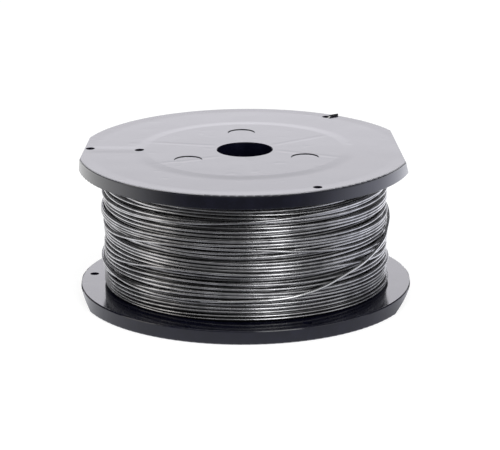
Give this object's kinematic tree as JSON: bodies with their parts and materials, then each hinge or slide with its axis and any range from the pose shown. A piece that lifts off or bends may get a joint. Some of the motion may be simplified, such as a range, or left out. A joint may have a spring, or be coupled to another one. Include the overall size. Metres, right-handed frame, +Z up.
{
  "type": "spool of welding wire",
  "caption": "Small flanged plastic spool wound with bare grey welding wire, the last turn crossing the others and anchored through a rim hole.",
  "frame": {"origin": "on the bore's axis, at the lower face that the spool stands on", "axes": "+Z up along the bore, +X towards the right-hand pair of flats, +Y away from the crossing turn"},
  "size_m": [0.0994, 0.1, 0.0459],
  "materials": {
    "spool_plastic": "black moulded plastic, satin gloss",
    "wire_steel": "drawn bare steel, slightly dull"
  },
  "bodies": {
    "root": {"spool": "spool_plastic", "welding_wire": "wire_steel"}
  },
  "joints": []
}
